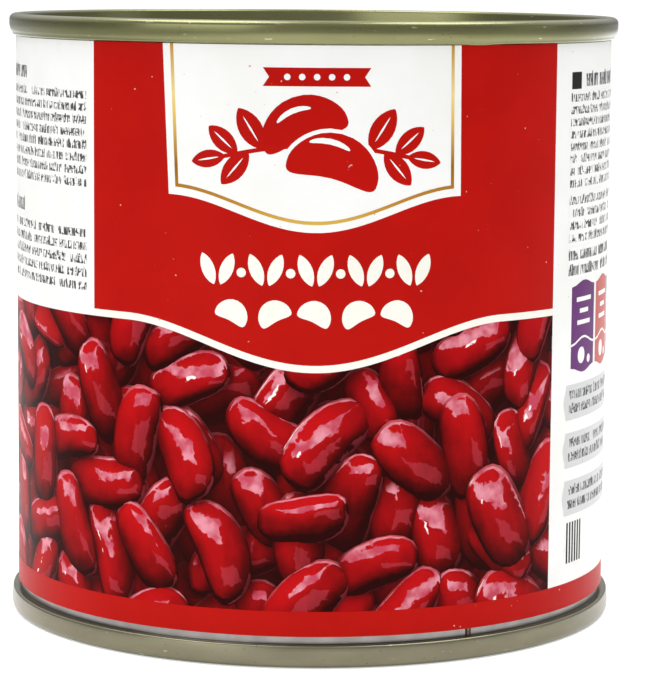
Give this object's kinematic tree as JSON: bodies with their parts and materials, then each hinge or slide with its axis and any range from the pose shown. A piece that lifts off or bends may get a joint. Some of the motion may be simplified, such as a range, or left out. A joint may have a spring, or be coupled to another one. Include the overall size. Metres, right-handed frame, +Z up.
{
  "type": "canned beans",
  "caption": "Shut squat tinplate food can with double-seamed lacquered ends, recessed beaded end panels and a paper label wrapped round its welded wall.",
  "frame": {"origin": "centre of the ring that the can stands on", "axes": "+Z up along the can's axis, the front of the label faces -Y, +X to its right"},
  "size_m": [0.0864, 0.0864, 0.0848],
  "materials": {
    "tinplate": "bright rolled tinplate",
    "top_lacquer": "clear gold lacquer on tinplate",
    "bottom_lacquer": "clear gold lacquer on tinplate, paler",
    "printed_paper": "coated paper, printed, with a soft gloss"
  },
  "bodies": {
    "root": {"can_body": "tinplate", "top_end": "top_lacquer", "bottom_end": "bottom_lacquer", "label": "printed_paper"}
  },
  "joints": []
}
